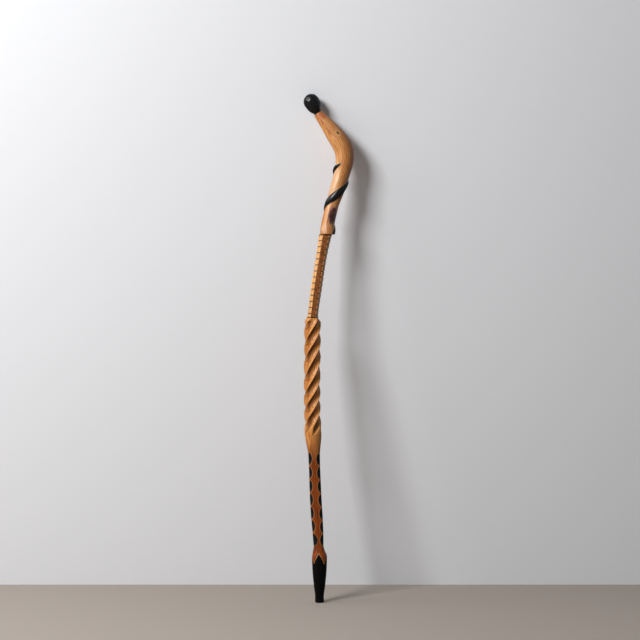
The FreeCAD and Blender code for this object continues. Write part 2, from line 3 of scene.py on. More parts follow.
import bmesh
import bpy
import numpy as np
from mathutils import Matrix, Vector
from mathutils.bvhtree import BVHTree
from mathutils.kdtree import KDTree


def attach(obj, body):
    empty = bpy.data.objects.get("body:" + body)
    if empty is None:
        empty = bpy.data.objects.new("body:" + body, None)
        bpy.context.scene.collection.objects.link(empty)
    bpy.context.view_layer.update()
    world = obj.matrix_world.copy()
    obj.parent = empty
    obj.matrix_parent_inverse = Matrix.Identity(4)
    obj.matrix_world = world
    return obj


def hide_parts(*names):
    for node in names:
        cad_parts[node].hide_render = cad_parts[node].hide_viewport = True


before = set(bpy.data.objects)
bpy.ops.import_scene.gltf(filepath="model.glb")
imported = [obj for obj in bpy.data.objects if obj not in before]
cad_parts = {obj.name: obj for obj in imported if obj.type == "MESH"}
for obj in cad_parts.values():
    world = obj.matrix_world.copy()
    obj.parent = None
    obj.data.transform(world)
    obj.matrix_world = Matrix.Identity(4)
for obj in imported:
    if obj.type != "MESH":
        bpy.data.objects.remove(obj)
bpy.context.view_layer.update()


# Tip: a foot turned from hardwood and stained black, with four pointed tongues whittled at its top. The
# tongues lie between the points of the shaft, which is glued in with its spigot. The stain dries satin, so
# that faint flats of the knife show down its length.

MM = 0.001
TIP_MESH = 0.42
TIP_FLATS = 11
TIP_FLAT_DEPTH = 0.3
TIP_FLAT_TURN = 0.9
TIP_BORE = 7.5
FLATS_START = 14
FLATS_FULL = 34
TIP_PORES_PER_MM = (1.6, 1.6, 0.06)
TIP_WEAR_PER_MM = 0.12


def even_copy(node, spacing, softening):
    """The piece's own shape again as a fine even mesh, with its edges a little worn."""
    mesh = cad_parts[node].data.copy()
    mesh.materials.clear()
    bm = bmesh.new()
    bm.from_mesh(mesh)
    bmesh.ops.remove_doubles(bm, verts=bm.verts, dist=spacing * MM * 0.01)
    bm.to_mesh(mesh)
    bm.free()
    piece = bpy.data.objects.new(f"carved_{node}", mesh)
    bpy.context.scene.collection.objects.link(piece)
    even = piece.modifiers.new("even_mesh", "REMESH")
    even.mode = "VOXEL"
    even.voxel_size = spacing * MM
    even.use_smooth_shade = True
    worn = piece.modifiers.new("worn_edges", "SMOOTH")
    worn.factor = 0.5
    worn.iterations = softening
    graph = bpy.context.evaluated_depsgraph_get()
    made = bpy.data.meshes.new_from_object(piece.evaluated_get(graph))
    piece.modifiers.clear()
    piece.data = made
    return piece


def points_of(piece):
    """The mesh's points in millimetres."""
    points = np.zeros(len(piece.data.vertices) * 3)
    piece.data.vertices.foreach_get("co", points)
    return points.reshape(-1, 3) / MM


def outward(piece):
    """The direction in which the surface faces at each point."""
    directions = np.zeros(len(piece.data.vertices) * 3)
    piece.data.vertex_normals.foreach_get("vector", directions)
    return directions.reshape(-1, 3)


def move_points(piece, points):
    piece.data.vertices.foreach_set("co", points.ravel() * MM)
    piece.data.update()


def keep(piece, name, values):
    """Keeps a number, or three, for each point of the mesh, for the material to read."""
    kind, field = ("FLOAT", "value") if values.ndim == 1 else ("FLOAT_VECTOR", "vector")
    attribute = piece.data.attributes.new(name, kind, "POINT")
    attribute.data.foreach_set(field, values.astype(np.float32).ravel())


def ease(values, low, high):
    """Goes smoothly from 0 at the low value to 1 at the high one."""
    share = np.clip((values - low) / (high - low), 0, 1)
    return share * share * (3 - 2 * share)


def linear(hex_colour):
    """Turns an sRGB hex colour to a linear one."""
    channels = [int(hex_colour[place : place + 2], 16) / 255 for place in (1, 3, 5)]
    return [c / 12.92 if c <= 0.04045 else ((c + 0.055) / 1.055) ** 2.4 for c in channels] + [1.0]


def new_material(name):
    material = bpy.data.materials.new(name)
    material.use_nodes = True
    material.node_tree.nodes.clear()
    return material


def put(material, kind, inputs=None, stops=None, **settings):
    """Adds a node with its settings, the values or nodes for its inputs, and the colours of its ramp."""
    made = material.node_tree.nodes.new(kind)
    for name, value in settings.items():
        setattr(made, name, value)
    for name, value in (inputs or {}).items():
        socket = next(s for s in made.inputs if s.enabled and name in (s.name, s.identifier))
        if isinstance(value, bpy.types.Node):
            value = next(s for s in value.outputs if s.enabled)
        if isinstance(value, bpy.types.NodeSocket):
            material.node_tree.links.new(value, socket)
        else:
            socket.default_value = linear(value) if isinstance(value, str) else value
    if stops:
        for stop, (position, hex_colour) in zip(made.color_ramp.elements, stops):
            stop.position = position
            stop.color = linear(hex_colour)
    return made


# The stain hides the wood's colour, and leaves its pores and a dull sheen to see. The pores are drawn 0.6 mm
# wide, coarser than real ones, so that they show.
stained = new_material("black_stained_hardwood")
place = put(stained, "ShaderNodeAttribute", attribute_name="wood").outputs["Vector"]
long_place = put(stained, "ShaderNodeMapping", {"Vector": place, "Scale": TIP_PORES_PER_MM})
pores = put(stained, "ShaderNodeTexNoise", {"Vector": long_place, "Scale": 1.0, "Detail": 5.0})
wear = put(stained, "ShaderNodeTexNoise", {"Vector": place, "Scale": TIP_WEAR_PER_MM, "Detail": 3.0})
tint = put(stained, "ShaderNodeValToRGB", {"Fac": wear}, stops=[(0.35, "#020202"), (0.7, "#070605")])
rough = put(
    stained,
    "ShaderNodeMapRange",
    {"Value": pores, "From Min": 0.3, "From Max": 0.7, "To Min": 0.55, "To Max": 0.7},
)
raised = put(stained, "ShaderNodeBump", {"Height": pores, "Strength": 0.5, "Distance": 0.12 * MM})
surface = put(
    stained,
    "ShaderNodeBsdfPrincipled",
    {"Base Color": tint, "Roughness": rough, "Normal": raised, "IOR": 1.5, "Specular IOR Level": 0.07},
)
put(stained, "ShaderNodeOutputMaterial", {"Surface": surface})

tip = even_copy("tip", TIP_MESH, 2)
points = points_of(tip)
keep(tip, "wood", points)

# The knife's flats start above the straight foot, and leave the bore as it is.
turn = np.arctan2(points[:, 1], points[:, 0])
reach = np.hypot(points[:, 0], points[:, 1])
flat = (np.cos(turn * TIP_FLATS + TIP_FLAT_TURN) - 1) * TIP_FLAT_DEPTH / 2
flat *= (reach > TIP_BORE) * ease(points[:, 2], FLATS_START, FLATS_FULL)
points[:, :2] *= (1 + flat / np.maximum(reach, 1))[:, None]
move_points(tip, points)
tip.data.materials.append(stained)
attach(tip, "root")
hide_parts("tip")


# Spiral shaft: one length of straight hardwood. The lower part is squared and scooped on its arrises, and the
# upper one is cut with five right-hand flutes by a gouge. It is stained orange-brown, darkest in the hollows,
# the scoops are painted black, and all of it is varnished.

SHAFT_MESH = 0.78
FLUTES = 5
STRAND_RADIUS = 15.3
FLUTE_BOTTOM = 9.8
FLUTE_LEAD = 144.5
FLUTE_START = math.radians(-83.25)
TWIST_FOOT = 304
SHOULDER = 505
PAINTED_SHADE_SIDE = (-13, -4)
LEAF_FOOT = (295, 310)
LEAF_TOP = (318, 338)
LEAF_HALF = 5.2
LEAF_DEPTH = 1.7
AMBER_LEVELS = (310, 255)
SHAFT_CUT = 0.12
SCOOP_START = 112.1
SCOOP_PITCH = 24.4
SCOOP_LENGTH = 21.5
SCOOP_DEPTH = 2.4
SCOOPS = 7
PAINT_EDGE = 0.14
WIDE_SCOOP = 1.4
PALE_RIM = 0.75
FAR_OFF = 9.0
TONGUES = 4
TONGUE_FOOT = 69.5
TONGUE_LENGTH = 19.6
TONGUE_MIDDLE = math.radians(-95)
TONGUE_RIM = 0.8
KNIFE_EDGE = 0.55
GRAIN_STRETCH = 0.03
BANDS_PER_MM = (0.11, 0.11, 0.02)
RING_SCALE = 0.12
RING_STRETCH = 0.04
PITH = (19, 31, 0)
CUTS_PER_MM = (0.55, 0.55, 0.045)
BRUSH_PER_MM = 0.9


def middle_line(points, levels=70):
    """The piece's centre line in the plane of its bend, read from its mesh and smoothed over five levels."""
    heights = np.linspace(points[:, 2].min(), points[:, 2].max(), levels)
    band = (heights[1] - heights[0]) * 1.5
    middles = []
    for height in heights:
        across = points[np.abs(points[:, 2] - height) < band, 0]
        middles.append((across.min() + across.max()) / 2)
    middles = np.convolve(np.pad(middles, 2, "edge"), np.ones(5) / 5, "valid")
    return np.column_stack([middles, heights])


def place_in_wood(points, line):
    """Each point's place in the wood: sideways, in depth, and along the grain."""
    lengths = np.concatenate([[0], np.cumsum(np.hypot(*np.diff(line, axis=0).T))])
    along = np.gradient(line, axis=0)
    along /= np.hypot(*along.T)[:, None]
    nearest = np.array([((line - point) ** 2).sum(axis=1).argmin() for point in points[:, [0, 2]]])
    away = points[:, [0, 2]] - line[nearest]
    along = along[nearest]
    sideways = away[:, 0] * along[:, 1] - away[:, 1] * along[:, 0]
    return np.column_stack([sideways, points[:, 1], lengths[nearest] + (away * along).sum(axis=1)])


def knife_flats(wood, width, length, seed):
    """How deep each point lies in the flat cut that a knife left there: 0 at its edges and 1 inside it."""
    stretch = np.array([1 / width, 1 / width, 1 / length])
    space = wood * stretch
    low, high = space.min(axis=0) - 1, space.max(axis=0) + 1
    cuts = np.random.default_rng(seed).uniform(low, high, (int(np.prod(high - low)), 3))
    tree = KDTree(len(cuts))
    for number, cut in enumerate(cuts):
        tree.insert(cut, number)
    tree.balance()
    found = [tree.find_n(point, 2) for point in space]
    return ease(np.array([second[2] - first[2] for first, second in found]), 0, KNIFE_EDGE)


def wood_grain(material, fibre):
    """The figure of straight wood from 0 to 1, and its fibres for the bump, by the fibres' width in mm."""
    # The fibres are drawn 0.6 to 0.9 mm wide, where real ones are 0.1 to 0.2 mm, so that they show.
    place = put(material, "ShaderNodeAttribute", attribute_name="wood").outputs["Vector"]
    fine = (1 / fibre, 1 / fibre, GRAIN_STRETCH / fibre)
    long_place = put(material, "ShaderNodeMapping", {"Vector": place, "Scale": fine})
    fibres = put(
        material, "ShaderNodeTexNoise", {"Vector": long_place, "Scale": 1.0, "Detail": 6.0, "Roughness": 0.6}
    )
    # The wave turns 20 radians in a unit, so its scale of 0.12 sets the growth rings 2.6 mm apart.
    from_pith = put(
        material,
        "ShaderNodeMapping",
        {"Vector": place, "Location": PITH, "Scale": (1, 1, RING_STRETCH)},
    )
    rings = put(
        material,
        "ShaderNodeTexWave",
        {"Vector": from_pith, "Scale": RING_SCALE, "Distortion": 5.0, "Detail": 2.0, "Detail Scale": 0.9},
        wave_type="RINGS",
        rings_direction="Z",
    )
    wide_place = put(material, "ShaderNodeMapping", {"Vector": place, "Scale": BANDS_PER_MM})
    bands = put(material, "ShaderNodeTexNoise", {"Vector": wide_place, "Scale": 1.0, "Detail": 3.0})
    figure = put(
        material, "ShaderNodeMath", {"Value": rings.outputs["Fac"], "Value_001": 0.22}, operation="MULTIPLY"
    )
    for part, share in ((fibres, 0.42), (bands, 0.5)):
        figure = put(
            material,
            "ShaderNodeMath",
            {"Value": part.outputs["Fac"], "Value_001": share, "Value_002": figure},
            operation="MULTIPLY_ADD",
        )
    return figure, fibres


def lay_over(material, under, over, value, low, high, most=1.0):
    """Lays one colour over another, more and more as a value goes from one limit to the other."""
    amount = put(
        material, "ShaderNodeMapRange", {"Value": value, "From Min": low, "From Max": high, "To Max": most}
    )
    return put(material, "ShaderNodeMix", {"Factor": amount, "A": under, "B": over}, data_type="RGBA")


shaft = even_copy("spiral_shaft", SHAFT_MESH, 2)
points = points_of(shaft)
line = middle_line(points)
wood = place_in_wood(points, line)
height = points[:, 2]
keep(shaft, "wood", wood)
keep(shaft, "height", height)

# In the twist: how hollow each point is, where the stain lies darkest, and how far it faces along the turn,
# for painted shade on the flute walls that face away from the light, which fades out on the lit left side.
reach = np.hypot(wood[:, 0], wood[:, 1])
in_twist = ease(height, TWIST_FOOT - 8, TWIST_FOOT) * ease(-height, -SHOULDER - 4, -SHOULDER)
keep(shaft, "hollow", np.clip((STRAND_RADIUS - reach) / (STRAND_RADIUS - FLUTE_BOTTOM), 0, 1) * in_twist)
around = np.column_stack([-wood[:, 1], wood[:, 0]]) / reach[:, None]
keep(shaft, "lee_painted_shade", (outward(shaft)[:, :2] * around).sum(axis=1) * in_twist * ease(wood[:, 0], *PAINTED_SHADE_SIDE))
turn = np.arctan2(wood[:, 1], wood[:, 0])
untwist = turn - height / FLUTE_LEAD * 2 * math.pi * ease(height, TWIST_FOOT - 14, TWIST_FOOT + 6)
keep(shaft, "along_flute", np.column_stack([reach * np.cos(untwist), reach * np.sin(untwist), height]))

# The gap between each point and the nearest of the rollers that the scoops are shaped by. The paint runs
# further round the lowest one at the front left.
roller = ((SCOOP_LENGTH / 2) ** 2 + SCOOP_DEPTH**2) / (2 * SCOOP_DEPTH)
gap = np.full(len(points), FAR_OFF)
for number in range(SCOOPS):
    level = SCOOP_START + number * SCOOP_PITCH
    across = points[:, 0] - np.interp(level, line[:, 1], line[:, 0])
    deep = points[:, 1]
    from_middle = height - level
    for side in (-1, 1):
        for face in (-1, 1):
            wider = WIDE_SCOOP if (number, side, face) == (0, -1, -1) else 0
            corner = (side * across + face * deep) * math.sqrt(0.5)
            this_corner = (side * across > 0) & (face * deep > 0)
            floor = corner[this_corner & (np.abs(from_middle) < 1)].max()
            near = this_corner & (np.abs(from_middle) < SCOOP_PITCH * 0.6)
            from_axis = np.hypot(corner[near] - floor - roller, from_middle[near])
            wider *= ease(-np.abs(from_middle[near]), -SCOOP_LENGTH * 0.6, -SCOOP_LENGTH * 0.1)
            gap[near] = np.minimum(gap[near], np.abs(from_axis - roller) - wider)
keep(shaft, "scoop_gap", gap)

# How far each point is above the outline of the nearest black tongue, which ends a little above the seam.
half_turn = math.pi / TONGUES
beside = np.arctan2(points[:, 1], points[:, 0]) - TONGUE_MIDDLE
beside = (beside + half_turn) % (2 * half_turn) - half_turn
tongue_top = TONGUE_FOOT + TONGUE_LENGTH * np.sin(half_turn - np.abs(beside)) / math.sin(half_turn)
keep(shaft, "above_tongue", (height - tongue_top) / 2)

# The varnish deepens the wood's orange and shines softly, and the black paint on it is matt. The cuts of the
# gouge are streaks along the flutes.
varnished = new_material("varnished_carved_hardwood")
figure, fibres = wood_grain(varnished, 0.8)
values = {
    name: put(varnished, "ShaderNodeAttribute", attribute_name=name).outputs["Fac"]
    for name in ("height", "hollow", "lee_painted_shade", "leaf", "scoop_gap", "above_tongue")
}
flute_place = put(varnished, "ShaderNodeAttribute", attribute_name="along_flute").outputs["Vector"]
long_flute = put(varnished, "ShaderNodeMapping", {"Vector": flute_place, "Scale": CUTS_PER_MM})
cuts = put(varnished, "ShaderNodeTexNoise", {"Vector": long_flute, "Scale": 1.0, "Detail": 4.0})
honey = put(varnished, "ShaderNodeValToRGB", {"Fac": figure}, stops=[(0.4, "#b86f2c"), (0.7, "#e39f58")])
amber = put(varnished, "ShaderNodeValToRGB", {"Fac": figure}, stops=[(0.4, "#581f01"), (0.7, "#944405")])
colour = lay_over(varnished, honey, amber, values["height"], *AMBER_LEVELS)
colour = lay_over(varnished, colour, "#8d4a1c", cuts, 0.5, 0.75, 0.4)
colour = lay_over(varnished, colour, "#7a3a14", values["hollow"], 0.6, 1.0, 0.45)
# Painted shade: the flute walls that face along the turn are darkened, except towards the lit left side.
colour = lay_over(varnished, colour, "#361103", values["lee_painted_shade"], 0.1, 0.6, 0.85)
# Painted shade: the leaf-shaped cuts at the flutes' ends are darkened by their depth.
colour = lay_over(varnished, colour, "#3c1404", values["leaf"], 0.1, 0.9, 0.6)
colour = lay_over(varnished, colour, "#c9905c", values["scoop_gap"], PALE_RIM, PAINT_EDGE, 0.85)
colour = lay_over(varnished, colour, "#cf9a66", values["above_tongue"], TONGUE_RIM, TONGUE_RIM * 0.6, 0.8)
colour = lay_over(varnished, colour, "#060606", values["above_tongue"], 0.05, -0.05)
ragged = put(varnished, "ShaderNodeTexNoise", {"Vector": flute_place, "Scale": BRUSH_PER_MM, "Detail": 3.0})
brushed_gap = put(
    varnished,
    "ShaderNodeMath",
    {"Value": ragged.outputs["Fac"], "Value_001": -0.12, "Value_002": values["scoop_gap"]},
    operation="MULTIPLY_ADD",
)
colour = lay_over(varnished, colour, "#060606", brushed_gap, PAINT_EDGE, PAINT_EDGE - 0.1)
bare = put(
    varnished,
    "ShaderNodeMath",
    {"Value": brushed_gap, "Value_001": values["above_tongue"]},
    operation="MINIMUM",
)
gloss = put(
    varnished,
    "ShaderNodeMapRange",
    {"Value": bare, "From Min": 0.0, "From Max": PAINT_EDGE, "To Min": 0.0, "To Max": 0.25},
)
rough = put(
    varnished,
    "ShaderNodeMapRange",
    {"Value": bare, "From Min": 0.0, "From Max": PAINT_EDGE, "To Min": 0.6, "To Max": 0.42},
)
uneven = put(varnished, "ShaderNodeMath", {"Value": fibres.outputs["Fac"], "Value_001": cuts.outputs["Fac"]})
raised = put(varnished, "ShaderNodeBump", {"Height": uneven, "Strength": 0.5, "Distance": 0.15 * MM})
surface = put(
    varnished,
    "ShaderNodeBsdfPrincipled",
    {
        "Base Color": colour,
        "Roughness": rough,
        "Normal": raised,
        "IOR": 1.5,
        "Specular IOR Level": 0.16,
        "Coat Weight": gloss,
        "Coat Roughness": 0.28,
    },
)
put(varnished, "ShaderNodeOutputMaterial", {"Surface": surface})

# The knife leaves shallow flats, but none in the scoops.
flats = knife_flats(wood, width=5, length=30, seed=4)
points -= outward(shaft) * (flats * SHAFT_CUT * (gap > 0.5))[:, None]

# The gouge leaves each flute in a leaf-shaped cut, which is cut deeper here and is painted dark inside as
# painted shade.
half_turn = math.pi / FLUTES
flute = FLUTE_START + (height - TWIST_FOOT) / FLUTE_LEAD * 2 * math.pi
off_flute = (turn - flute + half_turn) % (2 * half_turn) - half_turn
leaf = ease(height, *LEAF_FOOT) * (1 - ease(height, *LEAF_TOP))
off_middle = off_flute * reach / (LEAF_HALF * np.maximum(leaf, 0.1))
cut_depth = LEAF_DEPTH * leaf * np.clip(1 - off_middle**2, 0, 1)
points[:, :2] -= wood[:, :2] / reach[:, None] * cut_depth[:, None]
keep(shaft, "leaf", cut_depth / LEAF_DEPTH)
move_points(shaft, points)
shaft.data.materials.append(varnished)
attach(shaft, "root")
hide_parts("spiral_shaft")


# Dowels: turned hardwood pegs, glued half into each of the two pieces that they join. Nothing of them shows
# on the whole stick, so they keep their CAD shape and a plain unfinished wood.

DOWEL_PORES_PER_M = (1500, 1500, 45)

# Wood that nothing covers is pale and dull, with fine pores along it.
plain = new_material("unfinished_dowel_wood")
place = put(plain, "ShaderNodeTexCoord").outputs["Object"]
long_place = put(plain, "ShaderNodeMapping", {"Vector": place, "Scale": DOWEL_PORES_PER_M})
fibres = put(plain, "ShaderNodeTexNoise", {"Vector": long_place, "Scale": 1.0, "Detail": 5.0})
tint = put(plain, "ShaderNodeValToRGB", {"Fac": fibres}, stops=[(0.3, "#b68a5a"), (0.7, "#d3ad7c")])
raised = put(plain, "ShaderNodeBump", {"Height": fibres, "Strength": 0.4, "Distance": 0.1 * MM})
surface = put(plain, "ShaderNodeBsdfPrincipled", {"Base Color": tint, "Roughness": 0.65, "Normal": raised})
put(plain, "ShaderNodeOutputMaterial", {"Surface": surface})
for name in ("shaft_dowel", "handle_dowel", "knob_dowel"):
    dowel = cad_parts[name]
    dowel.data.materials.clear()
    dowel.data.materials.append(plain)


# Notched shaft: a thinner six-sided length with a V cut every centimetre down its two side arrises. It has
# the same stain and varnish. Four of its flats are darker, partly by stain and partly as painted shade, the
# cuts are coloured dark, and dark stain lies at its two seams.

BAR_MESH = 0.42
BAR_TURN = math.radians(8)
BAR_CORNERS = math.radians(60)
NOTCH_ROWS = ((-1, 8.2, 10.9), (1, 5.3, 9.8))
NOTCH_HALF = 1.3
NOTCH_FILL = 0.35
NOTCH_EDGE = (0.3, 0.45)
SPOTS_PER_MM = (0.5, 0.5, 0.22)

bar = even_copy("notched_shaft", BAR_MESH, 2)
points = points_of(bar)
wood = place_in_wood(points, middle_line(points))
keep(bar, "wood", wood)

# How far out each point would be if no cut were there, and its share of the way from the middle to the side.
reach = np.hypot(wood[:, 0], wood[:, 1])
from_flat = (np.arctan2(wood[:, 1], wood[:, 0]) - BAR_TURN) % BAR_CORNERS - BAR_CORNERS / 2
band = (points[:, 2] // 6).astype(int)
band -= band.min()
across_flat = reach * np.cos(from_flat)
widest = np.array([np.percentile(across_flat[band == number], 80) for number in range(band.max() + 1)])
uncut = widest[band] / np.cos(from_flat)
share = wood[:, 0] / uncut
keep(bar, "share", share)

# Each side's cuts start at their own level and have their own pitch.
rise = points[:, 2] - points[:, 2].min()
cut = np.zeros(len(points))
for side, start, pitch in NOTCH_ROWS:
    last = math.floor((rise.max() - 2 * start) / pitch)
    nearest = start + pitch * np.clip(np.round((rise - start) / pitch), 0, last)
    cut += ease(-np.abs(rise - nearest), -NOTCH_HALF, -NOTCH_HALF / 2) * ease(side * share, *NOTCH_EDGE)
keep(bar, "cut", cut)
keep(bar, "arris", ease(np.abs(from_flat), BAR_CORNERS * 0.4, BAR_CORNERS * 0.5))
# Four flats are darkened, partly as stain and partly as painted shade, leaving the lit left-front flat pale.
towards = np.array([math.cos(BAR_TURN - BAR_CORNERS), math.sin(BAR_TURN - BAR_CORNERS), 0])
keep(bar, "stained_and_shaded_flat", ease(np.abs(outward(bar) @ towards), 0.45, 0.75))
points += outward(bar) * (cut * np.clip(uncut - reach, 0, 1) * NOTCH_FILL)[:, None]
move_points(bar, points)
keep(bar, "from_end", np.minimum(rise, rise.max() - rise))

# The pale flats show the wood under the varnish, and the stained ones are blotched where it soaked in. The
# darker flats are partly stain and partly painted shade: the lit left-front flat is left pale, and the front
# and right-front flats are darkened.
striped = new_material("varnished_notched_hardwood")
figure, fibres = wood_grain(striped, 0.6)
values = {
    name: put(striped, "ShaderNodeAttribute", attribute_name=name).outputs["Fac"]
    for name in ("cut", "share", "arris", "stained_and_shaded_flat", "from_end")
}
place = put(striped, "ShaderNodeAttribute", attribute_name="wood").outputs["Vector"]
spot_place = put(striped, "ShaderNodeMapping", {"Vector": place, "Scale": SPOTS_PER_MM})
spots = put(
    striped, "ShaderNodeTexNoise", {"Vector": spot_place, "Scale": 1.0, "Detail": 4.0, "Roughness": 0.65}
)
colour = put(striped, "ShaderNodeValToRGB", {"Fac": figure}, stops=[(0.4, "#c08444"), (0.7, "#e6b377")])
colour = lay_over(striped, colour, "#8a4512", values["stained_and_shaded_flat"], 0.0, 1.0, 0.85)
spotted = put(
    striped,
    "ShaderNodeMath",
    {"Value": values["stained_and_shaded_flat"], "Value_001": 0.07, "Value_002": spots.outputs["Fac"]},
    operation="MULTIPLY_ADD",
)
colour = lay_over(striped, colour, "#461903", spotted, 0.54, 0.64, 0.75)
colour = lay_over(striped, colour, "#c08a4e", values["share"], 0.42, 0.56, 0.7)
colour = lay_over(striped, colour, "#dca669", values["arris"], 0.2, 1.0, 0.5)
# The V cuts are coloured dark.
colour = lay_over(striped, colour, "#2a0f04", values["cut"], 0.2, 0.6, 0.85)
colour = lay_over(striped, colour, "#260e05", values["from_end"], 3.0, 1.6, 0.85)
raised = put(striped, "ShaderNodeBump", {"Height": fibres, "Strength": 0.35, "Distance": 0.1 * MM})
surface = put(
    striped,
    "ShaderNodeBsdfPrincipled",
    {
        "Base Color": colour,
        "Roughness": 0.45,
        "Normal": raised,
        "IOR": 1.5,
        "Specular IOR Level": 0.2,
        "Coat Weight": 0.2,
        "Coat Roughness": 0.2,
    },
)
put(striped, "ShaderNodeOutputMaterial", {"Surface": surface})
bar.data.materials.append(striped)
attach(bar, "root")
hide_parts("notched_shaft")


# Snake: a tapered band carved from hardwood and lacquered black. It lies in its groove round the handle and
# stands a little proud, domed across its back.

SNAKE_MESH = 0.4
TAIL_LEVELS = (752, 770)
TAIL_SWELL = 2.0
SINK_LEVELS = (783, 792)
TAIL_SINK = 3.4
RIPPLES_PER_MM = 0.25

snake = even_copy("snake", SNAKE_MESH, 3)
points = points_of(snake)
keep(snake, "wood", points)

# The tail is fuller than the band below it, and its end sinks into the wood.
swell = TAIL_SWELL * ease(points[:, 2], *TAIL_LEVELS) - TAIL_SINK * ease(points[:, 2], *SINK_LEVELS)
points += outward(snake) * swell[:, None]
move_points(snake, points)

# The lacquer is brushed on, so it pools in soft ripples and its highlights are broad and dim.
lacquer = new_material("black_lacquer_on_wood")
place = put(lacquer, "ShaderNodeAttribute", attribute_name="wood").outputs["Vector"]
ripple = put(lacquer, "ShaderNodeTexNoise", {"Vector": place, "Scale": RIPPLES_PER_MM, "Detail": 3.0})
rough = put(
    lacquer,
    "ShaderNodeMapRange",
    {"Value": ripple, "From Min": 0.3, "From Max": 0.7, "To Min": 0.25, "To Max": 0.4},
)
raised = put(lacquer, "ShaderNodeBump", {"Height": ripple, "Strength": 0.4, "Distance": 0.4 * MM})
surface = put(
    lacquer,
    "ShaderNodeBsdfPrincipled",
    {
        "Base Color": "#030304",
        "Roughness": rough,
        "Normal": raised,
        "IOR": 1.5,
        "Specular IOR Level": 0.06,
        "Coat Weight": 0.5,
        "Coat Roughness": 0.27,
    },
)
put(lacquer, "ShaderNodeOutputMaterial", {"Surface": surface})
snake.data.materials.append(lacquer)
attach(snake, "root")
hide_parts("snake")


# Handle: a natural branch with one bend, peeled, scraped with a knife and varnished clear. Knots and a dark
# scar of bark are left in it. It is thickest at the bend, where the hand holds it.

HANDLE_MESH = 0.62
HANDLE_CUT = 0.06
RIGHT_SHADE_SIDE = (3, 14)
RIGHT_SHADE_LEVELS = (650, 740)
MOTTLE_PER_MM = (0.2, 0.2, 0.09)
RAGGED_PER_MM = 0.35

# Each spot's place across and up, half its width and height, and its lean in degrees.
SPOTS = {
    "knot": (32.6, 843, 2.0, 4.4, -35),
    "scar_knot": (22.2, 694, 2.2, 3.6, 12),
    "faint_knot": (12.2, 852, 2.6, 3.2, -35),
    "scar": (23.8, 695, 8.5, 16.5, 12),
    "red_end": (4.5, 876, 12, 10, -35),
    # The grip and rim spots are painted highlights on the lit left side of the handle.
    "highlight_grip": (25, 755, 9, 42, 10),
    "highlight_rim": (8, 673, 6, 9, 10),
}

handle = even_copy("handle", HANDLE_MESH, 2)
points = points_of(handle)
wood = place_in_wood(points, middle_line(points))
keep(handle, "wood", wood)


def from_spot(across, up, wide, tall, lean):
    """How far each point is from a spot on the front, as a share of the spot's half-sizes."""
    near = np.hypot(points[:, 0] - across, points[:, 2] - up) < 3
    front = points[near, 1].min()
    tilt = math.radians(lean)
    x, z = points[:, 0] - across, points[:, 2] - up
    sideways = x * math.cos(tilt) - z * math.sin(tilt)
    along = x * math.sin(tilt) + z * math.cos(tilt)
    behind = points[:, 1] - front
    return np.sqrt((sideways / wide) ** 2 + (along / tall) ** 2 + (behind / (wide * 1.6)) ** 2)


for name, spot in SPOTS.items():
    keep(handle, name, from_spot(*spot))
# Painted shade: the right side of the upper handle, turned away from the light, is darkened.
keep(handle, "shaded_right_side", ease(wood[:, 0], *RIGHT_SHADE_SIDE) * ease(points[:, 2], *RIGHT_SHADE_LEVELS))

# How far each point is above the snake, for a painted highlight along the upper edge of its groove.
snake_skin = BVHTree.FromObject(snake, bpy.context.evaluated_depsgraph_get())
lip_highlight = np.full(len(points), FAR_OFF)
for number, point in enumerate(points):
    spot, _, _, off = snake_skin.find_nearest(point * MM)
    if point[2] > spot.z / MM:
        lip_highlight[number] = off / MM
keep(handle, "lip_highlight", lip_highlight)

# Clear varnish keeps the branch's own honey colour, streaked and mottled where the knife went deeper.
peeled = new_material("peeled_varnished_branch")
figure, fibres = wood_grain(peeled, 0.9)
values = {
    name: put(peeled, "ShaderNodeAttribute", attribute_name=name).outputs["Fac"]
    for name in (*SPOTS, "shaded_right_side", "lip_highlight")
}
place = put(peeled, "ShaderNodeAttribute", attribute_name="wood").outputs["Vector"]
mottle_place = put(peeled, "ShaderNodeMapping", {"Vector": place, "Scale": MOTTLE_PER_MM})
mottle = put(
    peeled, "ShaderNodeTexNoise", {"Vector": mottle_place, "Scale": 1.0, "Detail": 4.0, "Roughness": 0.6}
)
ragged = put(peeled, "ShaderNodeTexNoise", {"Vector": place, "Scale": RAGGED_PER_MM, "Detail": 3.0})
# The pale grip and rim spots together are a painted highlight on the lit left side.
worn = put(
    peeled,
    "ShaderNodeMath",
    {"Value": values["highlight_grip"], "Value_001": values["highlight_rim"]},
    operation="MINIMUM",
)
edges = {
    name: put(
        peeled,
        "ShaderNodeMath",
        {"Value": ragged.outputs["Fac"], "Value_001": -0.9, "Value_002": values[name]},
        operation="MULTIPLY_ADD",
    )
    for name in ("scar", "red_end")
}
colour = put(peeled, "ShaderNodeValToRGB", {"Fac": figure}, stops=[(0.4, "#a35f28"), (0.7, "#d39656")])
colour = lay_over(peeled, colour, "#a0572a", mottle, 0.52, 0.72, 0.6)
# Painted shade on the right side of the upper handle.
colour = lay_over(peeled, colour, "#7d451f", values["shaded_right_side"], 0.0, 1.0, 0.6)
# Painted highlight on the left of the grip and rim.
colour = lay_over(peeled, colour, "#f0cda4", worn, 1.3, 0.4, 0.35)
